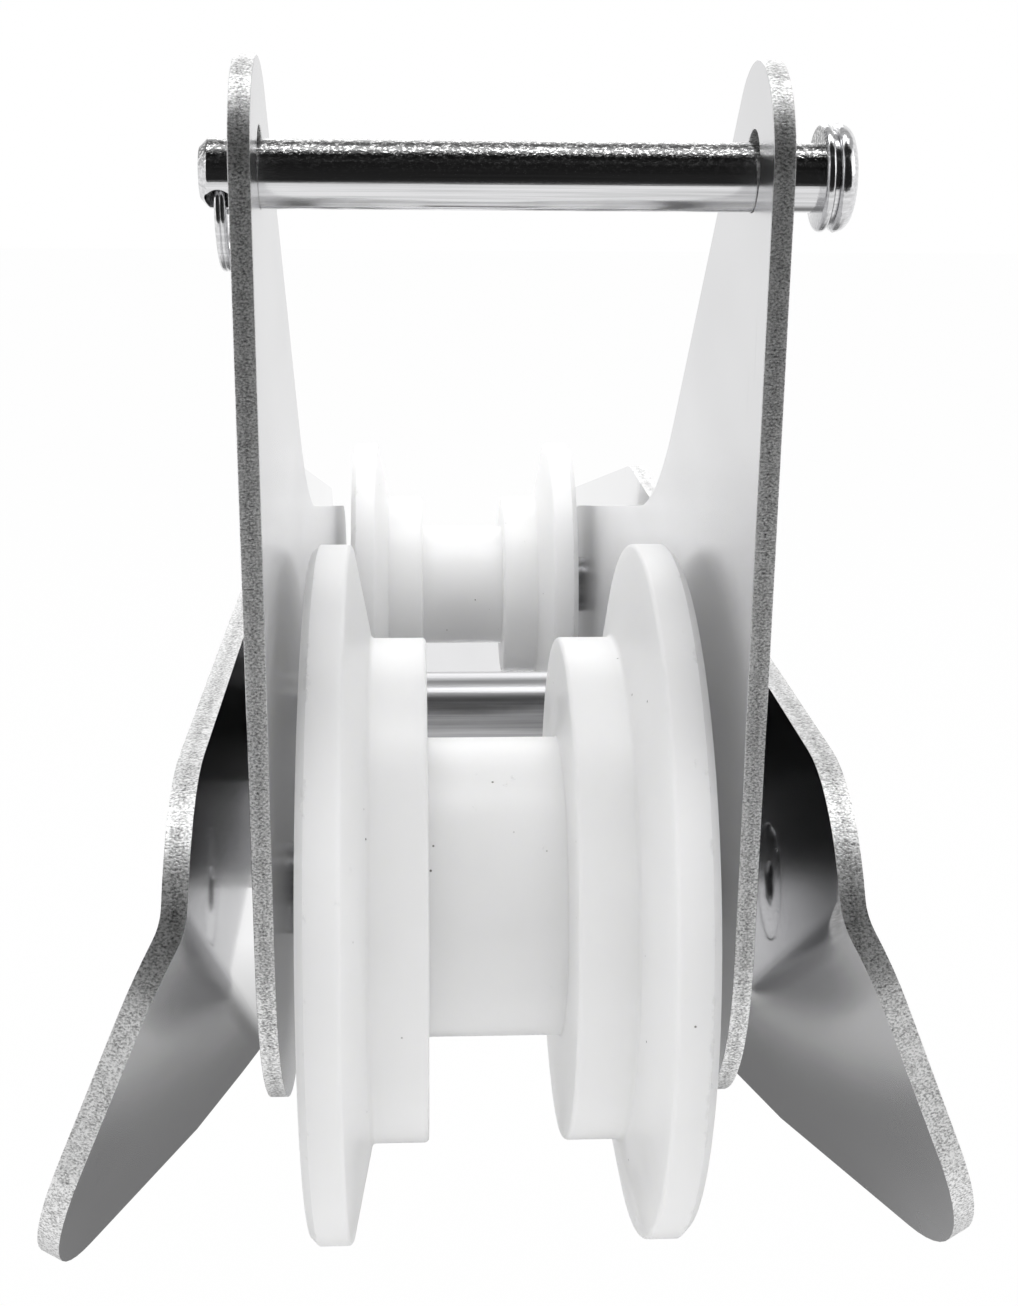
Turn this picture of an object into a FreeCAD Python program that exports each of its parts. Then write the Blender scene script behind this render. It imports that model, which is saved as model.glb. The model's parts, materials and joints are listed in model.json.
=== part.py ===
"""Tilting bow roller: two nylon rollers in a stainless cradle that tips in a flared deck channel.

Frame: +Z up, the bow end faces -Y, X runs across. The origin is the centre of the four deck bolt
holes, on the underside of the deck channel. Millimetres.
"""
import FreeCAD, Part
import Sketcher
import math
import os

DRIVING = {
    # Deck channel: one folded sheet with a floor, two cheeks and two flares at the bow end.
    "wall": 3.5,
    "fold_radius": 5.0,
    "floor_front": 115.0,
    "floor_rear": 130.0,
    "channel_reach": 298.0,
    "cheek_height": 90.1,
    "knee_height": 88.6,
    "knee_forward": 45.0,
    "tail_height": 46.6,
    "brow_radius": 28.0,
    "knee_radius": 40.0,
    "tail_radius": 15.0,
    "chin_rise": 12.0,
    "chin_length": 74.0,
    "chin_radius": 29.0,
    "flare_angle": 27.7,
    "flare_slope": 35.0,
    "flare_inset": 25.0,
    "flare_height": 59.9,
    "flare_radius": 9.0,
    "bolt_spread": 44.0,
    "bolt_pitch": 160.0,
    "bolt_hole": 9.0,
    # Cradle: two side plates on the pivot tube.
    "plate_gap": 68.5,
    "plate": 3.0,
    "cheek_gap": 6.0,
    "floor_gap": 0.3,
    "pivot_forward": 123.0,
    "front_reach": 97.0,
    "rear_reach": 121.0,
    "front_rise": 0.9,
    "rear_drop": 1.2,
    "nose": 48.8,
    "ear_radius": 15.7,
    "ear_height": 122.1,
    "ear_hole": 11.3,
    "back_angle": 45.0,
    "waist_radius": 95.0,
    "arm_angle": 12.0,
    "heel_radius": 23.2,
    "toe_radius": 36.7,
    "toe_height": 8.3,
    # Pivot.
    "pivot_tube": 19.0,
    "pivot_bore": 15.0,
    "bush_length": 20.0,
    "pivot_bolt": 12.0,
    "bolt_head": 19.0,
    "bolt_head_height": 7.5,
    "nut_height": 12.0,
    "nut_flats": 8.4,
    "nut_collar": 16.4,
    "thread_stick_out": 4.0,
    "washer": 24.0,
    "washer_thickness": 2.5,
    "thrust_washer": 30.0,
    "running_gap": 0.1,
    # Roller axles.
    "axle_tube": 16.0,
    "screw": 10.0,
    "screw_length": 22.0,
    "screw_head": 20.8,
    "screw_key": 7.0,
    "screw_key_depth": 2.6,
    "sink_angle": 90.0,
    # Rollers.
    "side_play": 3.4,
    "rim": 6.6,
    "groove": 22.9,
    "shoulder": 9.55,
    "front_flange": 120.0,
    "front_shoulder": 87.3,
    "front_core": 52.1,
    "rear_flange": 82.4,
    "rear_shoulder": 51.3,
    "rear_core": 34.0,
    "rim_round": 1.8,
    "edge_round": 0.8,
    "bore_fit": 0.08,
    # Retaining pin and split ring.
    "pin": 9.5,
    "pin_fit": 0.05,
    "pin_tail": 5.2,
    "pin_chamfer": 1.2,
    "pin_head": 14.8,
    "pin_collar": 1.6,
    "pin_head_groove": 0.4,
    "pin_groove_depth": 1.0,
    "pin_dome": 2.5,
    "pin_dome_round": 2.0,
    "pin_collar_round": 0.6,
    "pin_play": 6.2,
    "ring_hole": 4.0,
    "ring_gap": 1.4,
    "ring_lift": 0.85,
    "ring_wire": 1.15,
    "ring_pitch": 1.1,
    "ring_diameter": 17.9,
    "ring_angle": 50.0,
}

BEND_STEPS = 8


class Size:
    """A length or angle with its number and the text that binds it to the sheet."""

    def __init__(self, value, text):
        self.value = value
        self.text = text

    def joined(self, other, sign, value):
        return Size(value, f"({self.text} {sign} {as_size(other).text})")

    def __add__(self, other):
        return self.joined(other, "+", self.value + as_size(other).value)

    def __sub__(self, other):
        return self.joined(other, "-", self.value - as_size(other).value)

    def __mul__(self, other):
        return self.joined(other, "*", self.value * as_size(other).value)

    def __truediv__(self, other):
        return self.joined(other, "/", self.value / as_size(other).value)

    def __neg__(self):
        return Size(-self.value, f"(0 - {self.text})")


def as_size(number):
    return number if isinstance(number, Size) else Size(float(number), repr(float(number)))


def ratio_of(function, angle):
    """The sine, cosine or tangent of an angle that the sheet drives."""
    return Size(function(math.radians(angle.value)), f"{function.__name__}({angle.text} * 1 deg)")


ZERO = Size(0.0, "0")

doc = FreeCAD.newDocument("tilting_bow_roller")
sheet = doc.addObject("Spreadsheet::Sheet", "Sizes")
driving = {}
for row, (alias, number) in enumerate(DRIVING.items(), start=1):
    sheet.set(f"A{row}", alias)
    sheet.set(f"B{row}", str(number))
    sheet.setAlias(f"B{row}", alias)
    driving[alias] = Size(number, f"Sizes.{alias}")
doc.recompute()


def size(alias):
    return driving[alias]


# Planes and heights that several pieces share.
plate_inner = size("plate_gap") / 2
plate_outer = plate_inner + size("plate")
cheek_inner = plate_outer + size("cheek_gap")
cheek_outer = cheek_inner + size("wall")
rear_axle_height = size("wall") + size("floor_gap") + size("rear_flange") / 2
pivot_height = rear_axle_height + size("rear_drop")
front_axle_height = pivot_height + size("front_rise")
pivot_y = -size("pivot_forward")
front_axle_y = pivot_y - size("front_reach")
rear_axle_y = pivot_y + size("rear_reach")
nose_y = front_axle_y - size("nose")
ear_y = nose_y + size("ear_radius")
ear_height = front_axle_height + size("ear_height")
ear_hole_height = ear_height + (size("ear_hole") - size("pin")) / 2 - size("pin_fit")
roller_half = plate_inner - size("side_play")
rim_inner = roller_half - size("rim")
groove_half = size("groove") / 2
shoulder_half = groove_half + size("shoulder")
head_sink_bottom = size("screw_head") / 2 - size("plate") * ratio_of(math.tan, size("sink_angle") / 2)
ring_turn = (size("ring_diameter") - size("ring_wire")) / 2
ring_hang = ring_turn - size("ring_lift")
ring_x = -(plate_outer + size("ring_gap") + size("ring_wire"))
ring_y = ear_y + ring_hang * ratio_of(math.sin, size("ring_angle"))
ring_height = ear_height - ring_hang * ratio_of(math.cos, size("ring_angle"))

nodes = []


def bind(thing, prop, value):
    """Gives a property its number and ties it to the sheet."""
    thing.setExpression(prop, as_size(value).text)


def start_body(name):
    body = doc.addObject("PartDesign::Body", name)
    body.Label = name
    nodes.append(body)
    return body


def place(thing, y=ZERO, z=ZERO):
    bind(thing, "Placement.Base.y", y)
    bind(thing, "Placement.Base.z", z)


def origin_plane(body, role):
    return [f for f in body.Origin.OriginFeatures if f.Role == role][0]


def start_sketch(body, name, role, offset=None):
    sketch = body.newObject("Sketcher::SketchObject", name)
    sketch.AttachmentSupport = [(origin_plane(body, role), "")]
    sketch.MapMode = "FlatFace"
    if offset is not None:
        bind(sketch, "AttachmentOffset.Base.z", offset)
    return sketch


def hold(sketch, kind, *where, value):
    """A driven distance, radius or angle of a sketch."""
    shown = math.radians(value.value) if kind == "Angle" else value.value
    index = sketch.addConstraint(Sketcher.Constraint(kind, *where, shown))
    name = f"size_{index}"
    sketch.renameConstraint(index, name)
    unit = " * 1 deg" if kind == "Angle" else ""
    sketch.setExpression(f"Constraints.{name}", value.text + unit)


def hold_point(sketch, geometry, end, x, y):
    """Pins a point of the sketch at x, y, each measured from the sketch's origin."""
    if x.text == "0":
        sketch.addConstraint(Sketcher.Constraint("PointOnObject", geometry, end, -2))
    else:
        hold(sketch, "DistanceX", -1, 1, geometry, end, value=x)
    if y.text == "0":
        sketch.addConstraint(Sketcher.Constraint("PointOnObject", geometry, end, -1))
    else:
        hold(sketch, "DistanceY", -1, 1, geometry, end, value=y)


def vector(x, y):
    return FreeCAD.Vector(x.value, y.value, 0)


def draw_outline(sketch, corners):
    """A closed outline of straight lines with every corner bound to the sheet."""
    corners = [(as_size(x) if x else ZERO, as_size(y) if y else ZERO) for x, y in corners]
    first = sketch.GeometryCount
    count = len(corners)
    for i in range(count):
        sketch.addGeometry(Part.LineSegment(vector(*corners[i]), vector(*corners[(i + 1) % count])))
    for i in range(count):
        after = first + (i + 1) % count
        sketch.addConstraint(Sketcher.Constraint("Coincident", first + i, 2, after, 1))
        hold_point(sketch, first + i, 1, *corners[i])


def draw_circle(sketch, radius, x=ZERO, y=ZERO):
    circle = Part.Circle(vector(x, y), FreeCAD.Vector(0, 0, 1), radius.value)
    index = sketch.addGeometry(circle)
    hold(sketch, "Radius", index, value=radius)
    hold_point(sketch, index, 3, x, y)


def draw_hexagon(sketch, across_flats):
    half = across_flats / 2
    corner = across_flats / math.sqrt(3)
    side = corner / 2
    draw_outline(sketch, [
        (corner, None), (side, half), (-side, half), (-corner, None), (-side, -half), (side, -half),
    ])


def pad(body, sketch, length):
    feature = body.newObject("PartDesign::Pad", sketch.Name + "_pad")
    feature.Profile = sketch
    bind(feature, "Length", length)
    return feature


def pocket(body, sketch, length, forward=False):
    feature = body.newObject("PartDesign::Pocket", sketch.Name + "_pocket")
    feature.Profile = sketch
    feature.Reversed = forward
    bind(feature, "Length", length)
    return feature


def revolve(body, sketch):
    """Turns a profile that is drawn above the X axis about that axis."""
    feature = body.newObject("PartDesign::Revolution", sketch.Name + "_turned")
    feature.Profile = sketch
    feature.ReferenceAxis = (sketch, ["H_Axis"])
    feature.Angle = 360
    return feature


def round_edges(body, name, radius, wanted):
    """Rounds the edges of the finished shape that the test picks."""
    doc.recompute()
    base = body.Tip
    picked = [f"Edge{i}" for i, edge in enumerate(base.Shape.Edges, 1) if wanted(edge)]
    feature = body.newObject("PartDesign::Fillet", name)
    feature.Base = (base, picked)
    bind(feature, "Radius", radius)
    return feature


def is_ring(edge, radius, x=None):
    """True for a circle about the X axis with this radius, at this distance either side of the middle."""
    if not isinstance(edge.Curve, Part.Circle):
        return False
    centre = edge.Curve.Center
    same = abs(edge.Curve.Radius - radius.value) < 1e-4 and math.hypot(centre.y, centre.z) < 1e-4
    return same and (x is None or abs(abs(centre.x) - x.value) < 1e-4)


def tube(name, outer, inner, start, length, y, z):
    """A plain tube or washer about an axis along X."""
    body = start_body(name)
    sketch = start_sketch(body, name + "_section", "YZ_Plane", start)
    draw_circle(sketch, outer)
    draw_circle(sketch, inner)
    pad(body, sketch, length)
    place(body, y, z)
    return body


def side_plate(name, side):
    """A cradle side plate: tall ear over the bow roller, low arm aft to the stern roller."""
    body = start_body(name)
    start = plate_inner if side > 0 else -plate_outer
    sketch = start_sketch(body, name + "_outline", "YZ_Plane", start)
    ear, heel, toe, waist = size("ear_radius"), size("heel_radius"), size("toe_radius"), size("waist_radius")
    toe_centre = (nose_y + toe, front_axle_height + size("toe_height"))
    ear_centre = (ear_y, ear_height)
    heel_centre = (rear_axle_y, rear_axle_height)
    back, arm = math.radians(DRIVING["back_angle"]), math.radians(DRIVING["arm_angle"])

    def point(centre, radius, angle):
        return FreeCAD.Vector(
            centre[0].value + radius.value * math.cos(angle),
            centre[1].value + radius.value * math.sin(angle), 0)

    ear_end = point(ear_centre, ear, math.pi / 2 - back)
    heel_top = point(heel_centre, heel, math.pi / 2 - arm)
    dy = heel_centre[0].value - toe_centre[0].value
    dz = heel_centre[1].value - toe_centre[1].value
    belly = math.atan2(dz, dy) - math.pi / 2 + math.asin((toe.value - heel.value) / math.hypot(dy, dz))
    heel_low = point(heel_centre, heel, belly)
    toe_low = point(toe_centre, toe, belly)
    back_run = FreeCAD.Vector(math.cos(back), -math.sin(back), 0)
    arm_run = FreeCAD.Vector(math.cos(arm), -math.sin(arm), 0)
    across = heel_top - ear_end
    corner_reach = (across.x * arm_run.y - across.y * arm_run.x) / (
        back_run.x * arm_run.y - back_run.y * arm_run.x)
    corner = ear_end + back_run * corner_reach
    setback = waist.value * math.tan((back - arm) / 2)
    waist_start = corner - back_run * setback
    waist_end = corner + arm_run * setback
    waist_centre = waist_start + FreeCAD.Vector(math.sin(back), math.cos(back), 0) * waist.value
    up = FreeCAD.Vector(0, 0, 1)

    def arc(centre, radius, first, last):
        return Part.ArcOfCircle(Part.Circle(centre, up, radius.value), first, last)

    nose_low = FreeCAD.Vector(nose_y.value, toe_centre[1].value, 0)
    nose_top = FreeCAD.Vector(nose_y.value, ear_height.value, 0)
    down = 3 * math.pi / 2
    pieces = [
        Part.LineSegment(nose_low, nose_top),
        arc(point(ear_centre, ZERO, 0), ear, math.pi / 2 - back, math.pi),
        Part.LineSegment(ear_end, waist_start),
        arc(waist_centre, waist, down - back, down - arm),
        Part.LineSegment(waist_end, heel_top),
        arc(point(heel_centre, ZERO, 0), heel, belly, math.pi / 2 - arm),
        Part.LineSegment(heel_low, toe_low),
        arc(point(toe_centre, ZERO, 0), toe, math.pi, 2 * math.pi + belly),
    ]
    front_line, ear_arc, back_line, waist_arc, arm_line, heel_arc, belly_line, toe_arc = range(8)
    sketch.addGeometry(pieces)
    for one, one_end, other, other_end in (
        (front_line, 2, ear_arc, 2), (ear_arc, 1, back_line, 1), (back_line, 2, waist_arc, 1),
        (waist_arc, 2, arm_line, 1), (arm_line, 2, heel_arc, 2), (heel_arc, 1, belly_line, 1),
        (belly_line, 2, toe_arc, 2), (toe_arc, 1, front_line, 1),
    ):
        sketch.addConstraint(Sketcher.Constraint("Tangent", one, one_end, other, other_end))
    sketch.addConstraint(Sketcher.Constraint("Vertical", front_line))
    hold(sketch, "DistanceX", -1, 1, front_line, 1, value=nose_y)
    hold(sketch, "DistanceY", -1, 1, ear_arc, 3, value=ear_height)
    hold(sketch, "DistanceY", -1, 1, toe_arc, 3, value=toe_centre[1])
    hold_point(sketch, heel_arc, 3, *heel_centre)
    for geometry, radius in ((ear_arc, ear), (waist_arc, waist), (heel_arc, heel), (toe_arc, toe)):
        hold(sketch, "Radius", geometry, value=radius)
    hold(sketch, "Angle", back_line, value=-size("back_angle"))
    hold(sketch, "Angle", arm_line, value=-size("arm_angle"))
    pad(body, sketch, size("plate"))

    holes = start_sketch(body, name + "_holes", "YZ_Plane", start)
    draw_circle(holes, size("ear_hole") / 2, ear_y, ear_hole_height)
    draw_circle(holes, size("pivot_bore") / 2, pivot_y, pivot_height)
    pocket(body, holes, size("plate"), forward=True)
    doc.recompute()
    for axle, y, z in (("front", front_axle_y, front_axle_height), ("rear", rear_axle_y, rear_axle_height)):
        sink = body.newObject("PartDesign::SubtractiveCone", f"{name}_{axle}_sink")
        sink.AttachmentSupport = [(origin_plane(body, "YZ_Plane"), "")]
        sink.MapMode = "FlatFace"
        bind(sink, "AttachmentOffset.Base.x", y)
        bind(sink, "AttachmentOffset.Base.y", z)
        bind(sink, "AttachmentOffset.Base.z", start)
        wide, narrow = size("screw_head") / 2, head_sink_bottom
        bind(sink, "Radius1", narrow if side > 0 else wide)
        bind(sink, "Radius2", wide if side > 0 else narrow)
        bind(sink, "Height", size("plate"))
    return body


def roller(name, flange, shoulder, core, y, z):
    """A nylon roller: two flanges with sloped inner faces, two shoulders and a core groove."""
    body = start_body(name)
    sketch = start_sketch(body, name + "_profile", "XY_Plane")
    bore = size("axle_tube") / 2 + size("bore_fit")
    right = [
        (roller_half, bore), (roller_half, flange / 2), (rim_inner, flange / 2),
        (shoulder_half, shoulder / 2), (groove_half, shoulder / 2), (groove_half, core / 2),
    ]
    left = [(-x, radius) for x, radius in reversed(right)]
    draw_outline(sketch, right + left)
    revolve(body, sketch)
    round_edges(body, name + "_rim_round", size("rim_round"),
                lambda edge: is_ring(edge, flange / 2, roller_half))
    round_edges(body, name + "_edge_round", size("edge_round"),
                lambda edge: is_ring(edge, flange / 2, rim_inner) or is_ring(edge, shoulder / 2))
    place(body, y, z)
    return body


def axle_screw(name, side, y, z):
    """A socket screw with a wide flush head that holds the axle tube between the side plates."""
    body = start_body(name)
    sketch = start_sketch(body, name + "_profile", "XY_Plane")
    shank = size("screw") / 2 - size("bore_fit")
    head_end, seat, tip = plate_outer, plate_inner, plate_outer - size("screw_length")
    chamfer = size("edge_round")
    profile = [
        (head_end, None), (head_end, size("screw_head") / 2), (seat, head_sink_bottom), (seat, shank),
        (tip + chamfer, shank), (tip, shank - chamfer), (tip, None),
    ]
    if side < 0:
        profile = [(-x, radius) for x, radius in reversed(profile)]
    draw_outline(sketch, profile)
    revolve(body, sketch)
    socket = start_sketch(body, name + "_socket", "YZ_Plane", plate_outer if side > 0 else -plate_outer)
    draw_hexagon(socket, size("screw_key"))
    pocket(body, socket, size("screw_key_depth"), forward=side < 0)
    place(body, y, z)
    return body


def pivot_bolt():
    """Hex bolt across the channel, head on the left, thread end on the right."""
    body = start_body("pivot_bolt")
    washer = size("washer_thickness")
    head_end = cheek_outer + washer + size("bolt_head_height")
    head = start_sketch(body, "pivot_bolt_head", "YZ_Plane", -head_end)
    draw_hexagon(head, size("bolt_head"))
    pad(body, head, size("bolt_head_height"))
    shank = start_sketch(body, "pivot_bolt_shank", "YZ_Plane", -(cheek_outer + washer))
    draw_circle(shank, size("pivot_bolt") / 2)
    length = (cheek_outer + washer) * 2 + size("nut_height") + size("thread_stick_out")
    pad(body, shank, length)
    round_edges(body, "pivot_bolt_tip_round", size("edge_round"),
                lambda edge: is_ring(edge, size("pivot_bolt") / 2) and edge.Curve.Center.x > 0)
    place(body, pivot_y, pivot_height)


def pivot_nut():
    """Locking nut with its round collar outboard."""
    body = start_body("pivot_nut")
    start = cheek_outer + size("washer_thickness")
    bore = size("pivot_bolt") / 2
    flats = start_sketch(body, "pivot_nut_flats", "YZ_Plane", start)
    draw_hexagon(flats, size("bolt_head"))
    draw_circle(flats, bore)
    pad(body, flats, size("nut_flats"))
    collar = start_sketch(body, "pivot_nut_collar", "YZ_Plane", start)
    draw_circle(collar, size("nut_collar") / 2)
    draw_circle(collar, bore)
    pad(body, collar, size("nut_height"))
    place(body, pivot_y, pivot_height)


def retaining_pin():
    """Headed pin through the ears, head on the right, cross hole for the split ring on the left."""
    body = start_body("retaining_pin")
    sketch = start_sketch(body, "retaining_pin_profile", "XY_Plane")
    radius, chamfer = size("pin") / 2, size("pin_chamfer")
    tail = -(plate_outer + size("pin_tail"))
    seat = plate_outer + size("pin_play")
    rim = size("pin_head") / 2
    neck = rim - size("pin_groove_depth")
    collar_end = seat + size("pin_collar")
    dome_start = collar_end + size("pin_head_groove")
    dome_end = dome_start + size("pin_dome")
    draw_outline(sketch, [
        (tail, None), (tail, radius - chamfer), (tail + chamfer, radius), (seat, radius),
        (seat, rim), (collar_end, rim), (collar_end, neck), (dome_start, neck), (dome_start, rim),
        (dome_end, rim), (dome_end, None),
    ])
    revolve(body, sketch)
    round_edges(body, "retaining_pin_dome_round", size("pin_dome_round"),
                lambda edge: is_ring(edge, rim, dome_end))
    round_edges(body, "retaining_pin_collar_round", size("pin_collar_round"),
                lambda edge: is_ring(edge, rim, seat) or is_ring(edge, rim, collar_end))
    doc.recompute()
    before = body.Shape.Volume
    cross = body.newObject("PartDesign::SubtractiveCylinder", "retaining_pin_cross_hole")
    cross.AttachmentSupport = [(origin_plane(body, "XZ_Plane"), "")]
    cross.MapMode = "FlatFace"
    lean = size("ring_angle")
    leaning = FreeCAD.Rotation(FreeCAD.Vector(1, 0, 0), lean.value)
    cross.AttachmentOffset = FreeCAD.Placement(FreeCAD.Vector(), leaning)
    cross.setExpression("AttachmentOffset.Rotation.Angle", lean.text + " * 1 deg")
    bind(cross, "AttachmentOffset.Base.x", ring_x)
    bind(cross, "AttachmentOffset.Base.y", size("pin") * ratio_of(math.sin, lean))
    bind(cross, "AttachmentOffset.Base.z", -size("pin") * ratio_of(math.cos, lean))
    bind(cross, "Radius", size("ring_hole") / 2)
    bind(cross, "Height", size("pin") * 2)
    doc.recompute()
    if body.Shape.Volume > before - size("ring_hole").value:
        raise RuntimeError("the cross hole missed the pin")
    place(body, ear_y, ear_height)


def split_ring():
    """Two turns of round wire side by side, hung through the pin's cross hole."""
    turns = []
    for number, offset in enumerate((-size("ring_pitch") / 2, size("ring_pitch") / 2)):
        turn = doc.addObject("Part::Torus", f"split_ring_turn_{number}")
        bind(turn, "Radius1", ring_turn)
        bind(turn, "Radius2", size("ring_wire") / 2)
        turn.Placement.Rotation = FreeCAD.Rotation(FreeCAD.Vector(0, 1, 0), 90)
        bind(turn, "Placement.Base.x", ring_x + offset)
        bind(turn, "Placement.Base.y", ring_y)
        bind(turn, "Placement.Base.z", ring_height)
        turns.append(turn)
    ring = doc.addObject("Part::MultiFuse", "split_ring")
    ring.Label = "split_ring"
    ring.Shapes = turns
    nodes.append(ring)


def plane_point(y, z):
    return FreeCAD.Vector(0, y, z)


def cheek_blank():
    """Flat outline of a cheek before its flare is bent, as a face on the plane X = 0."""
    v = DRIVING
    tail, front = v["floor_rear"], -v["channel_reach"]
    keel_end = front + v["chin_length"]
    corners = [
        (plane_point(front, v["chin_rise"]), v["chin_radius"]),
        (plane_point(front, v["cheek_height"]), v["brow_radius"]),
        (plane_point(-v["knee_forward"], v["knee_height"]), v["knee_radius"]),
        (plane_point(tail, v["tail_height"]), v["tail_radius"]),
        (plane_point(tail, 0), 0),
        (plane_point(keel_end, 0), 0),
    ]
    edges, ends = [], []
    count = len(corners)
    for i, (corner, radius) in enumerate(corners):
        before = (corners[i - 1][0] - corner).normalize()
        after = (corners[(i + 1) % count][0] - corner).normalize()
        if not radius:
            ends.append((corner, corner))
            continue
        half_angle = before.getAngle(after) / 2
        setback = radius / math.tan(half_angle)
        middle = corner + (before + after).normalize() * (radius / math.sin(half_angle) - radius)
        start, end = corner + before * setback, corner + after * setback
        edges.append(Part.Arc(start, middle, end).toShape())
        ends.append((start, end))
    for i in range(count):
        start, end = ends[i][1], ends[(i + 1) % count][0]
        edges.append(Part.LineSegment(start, end).toShape())
    return Part.Face(Part.Wire(Part.__sortEdges__(edges)))


def flared_cheek():
    """Right cheek: the flat sheet, the bend and the flap beyond it, as one solid."""
    v = DRIVING
    wall, turn = v["wall"], math.radians(v["flare_angle"])
    slope = math.radians(v["flare_slope"])
    inner, outer = cheek_inner.value, cheek_outer.value
    blank = cheek_blank()
    along = FreeCAD.Vector(0, math.cos(slope), -math.sin(slope))
    away = FreeCAD.Vector(0, -math.sin(slope), -math.cos(slope))
    middle = plane_point(-v["channel_reach"] + v["flare_inset"], v["flare_height"])
    bend_length = turn * (v["flare_radius"] + wall / 2)
    near = middle - away * (bend_length / 2)
    far_side = 2 * v["channel_reach"]

    def half_plane(start, direction):
        corners = [
            start - along * far_side, start + along * far_side,
            start + along * far_side + direction * far_side, start - along * far_side + direction * far_side,
        ]
        return Part.Face(Part.makePolygon(corners + corners[:1]))

    flat = blank.common(half_plane(near, -away)).extrude(FreeCAD.Vector(wall, 0, 0))
    flat.translate(FreeCAD.Vector(inner, 0, 0))

    axis_point = near + FreeCAD.Vector(outer + v["flare_radius"], 0, 0)

    def rolled(shape, angle, travel):
        """Slides a section of the sheet back by travel and rolls it round the bend axis."""
        shape.translate(-away * travel + FreeCAD.Vector(inner, 0, 0))
        shape.rotate(axis_point, along, math.degrees(angle))
        return shape

    sections = []
    for step in range(BEND_STEPS + 1):
        share = step / BEND_STEPS
        travel = bend_length * share
        cut = near + away * travel
        line = Part.LineSegment(cut - along * far_side, cut + along * far_side).toShape()
        across = blank.common(line)
        ends = [vertex.Point for vertex in across.Vertexes]
        low, high = min(ends, key=lambda p: p.y), max(ends, key=lambda p: p.y)
        thick = FreeCAD.Vector(wall, 0, 0)
        section = Part.makePolygon([low, high, high + thick, low + thick, low])
        sections.append(rolled(section, -turn * share, travel))
    bend = Part.makeLoft(sections, True, False)

    flap = blank.common(half_plane(near + away * bend_length, away)).extrude(FreeCAD.Vector(wall, 0, 0))
    flap = rolled(flap, -turn, bend_length)
    return flat.fuse([bend, flap]).removeSplitter()


def deck_channel():
    """Folded channel: rounded U section under the cheeks, flares, deck bolt holes and pivot holes."""
    v = DRIVING
    wall, fold, front = v["wall"], v["fold_radius"], -v["floor_front"]
    length = v["floor_front"] + v["floor_rear"]
    inner, outer = cheek_inner.value, cheek_outer.value
    past = 2 * v["channel_reach"]

    def trough_block(width, bottom, radius):
        """A long block with its two lower edges rounded."""
        box = Part.makeBox(2 * width, length, past, FreeCAD.Vector(-width, front, bottom))
        low = [e for e in box.Edges if abs(e.BoundBox.ZMax - bottom) < 1e-6 and e.BoundBox.YLength > width]
        return box.makeFillet(radius, low)

    outside = trough_block(outer, 0, fold + wall)
    section = outside.cut(trough_block(inner, wall, fold))
    side = cheek_blank().extrude(FreeCAD.Vector(2 * past, 0, 0))
    side.translate(FreeCAD.Vector(-past, 0, 0))
    trough = section.common(side)
    right = flared_cheek()
    corner_scraps = Part.makeBox(2 * outer, length, fold + wall, FreeCAD.Vector(-outer, front, 0))
    corner_scraps = corner_scraps.cut(outside)
    right = right.cut(corner_scraps)
    left = right.mirror(FreeCAD.Vector(0, 0, 0), FreeCAD.Vector(1, 0, 0))
    below = Part.makeBox(2 * past, 2 * past, past, FreeCAD.Vector(-past, -past, -past))
    channel = trough.fuse([right, left]).cut(below)
    up = FreeCAD.Vector(0, 0, 1)
    for x in (-1, 1):
        for y in (-1, 1):
            spot = FreeCAD.Vector(x * v["bolt_spread"] / 2, y * v["bolt_pitch"] / 2, 0)
            channel = channel.cut(Part.makeCylinder(v["bolt_hole"] / 2, past, spot, up))
    across = FreeCAD.Vector(1, 0, 0)
    spot = FreeCAD.Vector(-past, pivot_y.value, pivot_height.value)
    channel = channel.cut(Part.makeCylinder(v["pivot_bolt"] / 2 + v["bore_fit"], 2 * past, spot, across))
    feature = doc.addObject("Part::Feature", "base_channel")
    feature.Label = "base_channel"
    feature.Shape = channel.removeSplitter()
    feature.Placement = FreeCAD.Placement()
    nodes.append(feature)


deck_channel()
side_plate("left_side_plate", -1)
side_plate("right_side_plate", 1)
roller("front_roller", size("front_flange"), size("front_shoulder"), size("front_core"),
       front_axle_y, front_axle_height)
roller("rear_roller", size("rear_flange"), size("rear_shoulder"), size("rear_core"),
       rear_axle_y, rear_axle_height)
for axle, axle_y, axle_height in (
    ("front", front_axle_y, front_axle_height), ("rear", rear_axle_y, rear_axle_height),
):
    tube(f"{axle}_axle_tube", size("axle_tube") / 2, size("screw") / 2, -plate_inner, size("plate_gap"),
         axle_y, axle_height)
    axle_screw(f"{axle}_axle_screw_left", -1, axle_y, axle_height)
    axle_screw(f"{axle}_axle_screw_right", 1, axle_y, axle_height)
tube("pivot_tube", size("pivot_tube") / 2, size("pivot_bore") / 2, -plate_inner, size("plate_gap"),
     pivot_y, pivot_height)
bush_bore = size("pivot_bolt") / 2 + size("bore_fit")
washer_bore = size("pivot_bolt") / 2 + size("running_gap")
thrust_thickness = size("cheek_gap") - size("running_gap") * 2
for side_name, bush_start, thrust_start, washer_start in (
    ("left", -plate_outer, -(cheek_inner - size("running_gap")), -(cheek_outer + size("washer_thickness"))),
    ("right", plate_outer - size("bush_length"), plate_outer + size("running_gap"), cheek_outer),
):
    tube(f"pivot_bush_{side_name}", size("pivot_bore") / 2, bush_bore, bush_start, size("bush_length"),
         pivot_y, pivot_height)
    tube(f"thrust_washer_{side_name}", size("thrust_washer") / 2, washer_bore, thrust_start,
         thrust_thickness, pivot_y, pivot_height)
    tube(f"pivot_washer_{side_name}", size("washer") / 2, washer_bore, washer_start,
         size("washer_thickness"), pivot_y, pivot_height)
pivot_bolt()
pivot_nut()
retaining_pin()
split_ring()

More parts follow.
